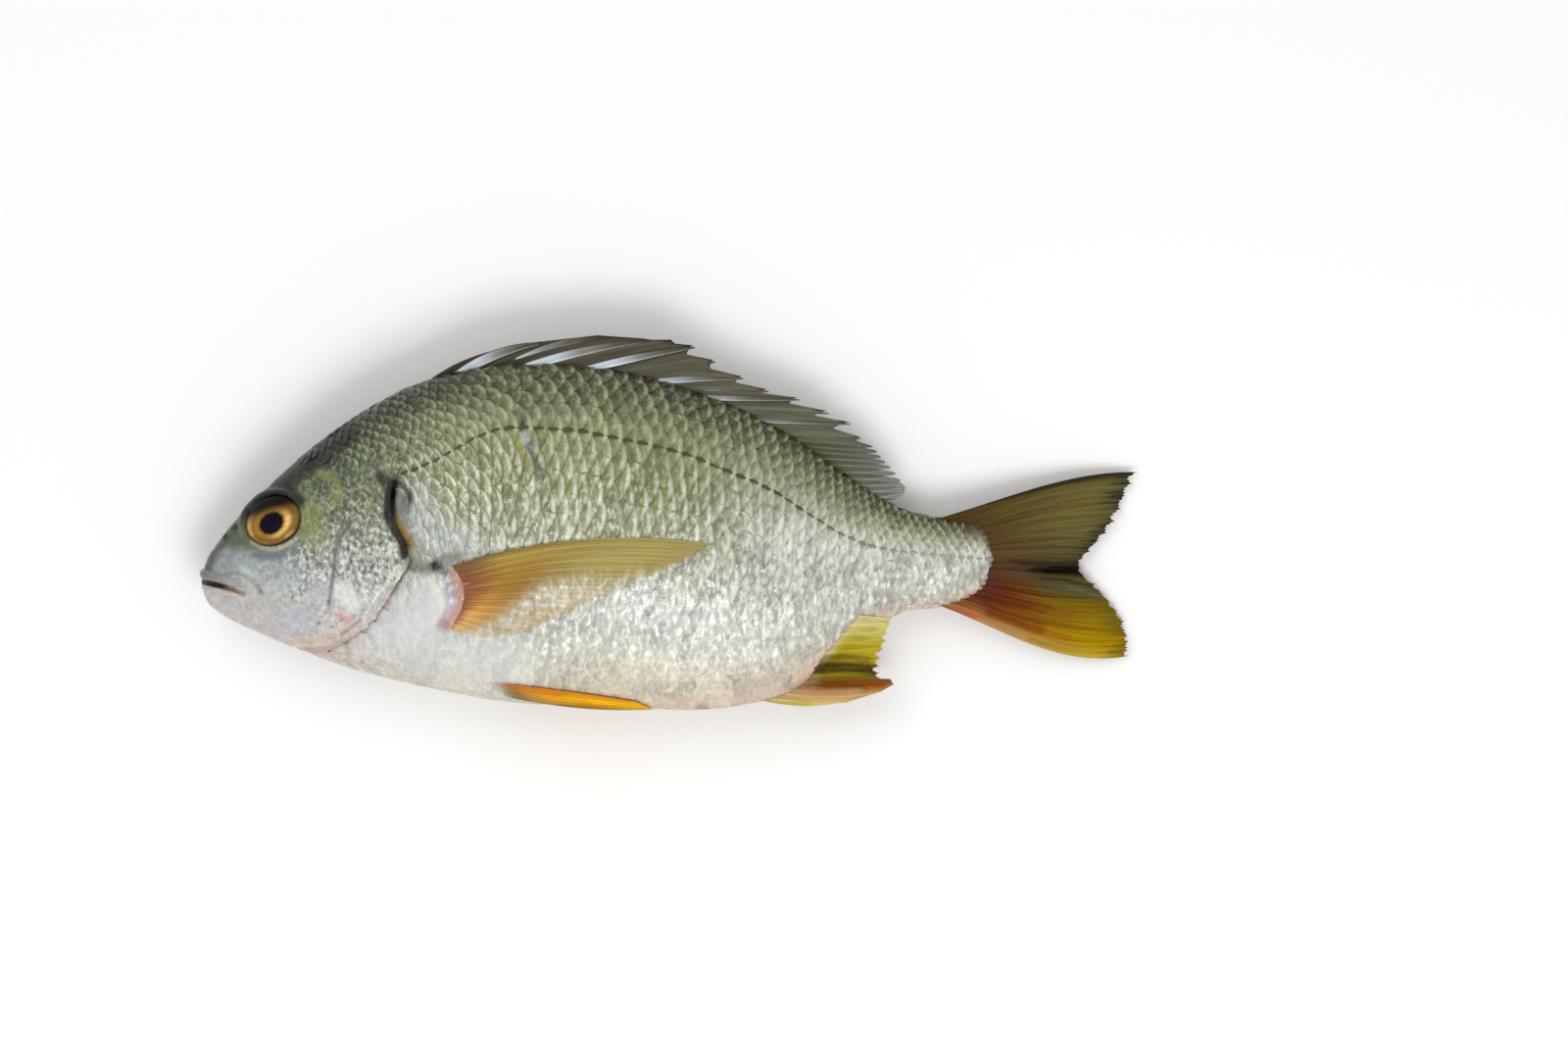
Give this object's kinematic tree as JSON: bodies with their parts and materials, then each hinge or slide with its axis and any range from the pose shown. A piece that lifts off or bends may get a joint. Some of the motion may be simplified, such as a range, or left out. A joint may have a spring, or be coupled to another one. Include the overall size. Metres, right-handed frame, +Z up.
{
  "type": "whole raw fish",
  "caption": "Whole raw silver fish with a deep body, folded back fin, forked tail, anal, belly and breast fins, mouth, gill covers and eyes, laid on its side.",
  "frame": {"origin": "on the surface the fish lies on, under the middle of its length and of its depth", "axes": "+X from the snout to the tail, +Y from the belly to the back, +Z up, out of the left side, which faces up"},
  "size_m": [0.2999, 0.1203, 0.0434],
  "materials": {
    "fish_skin": "wet, silvery scaled skin",
    "eye": "wet and glossy"
  },
  "bodies": {
    "root": {"fish": "fish_skin", "eye_left": "eye", "eye_right": "eye"}
  },
  "joints": []
}
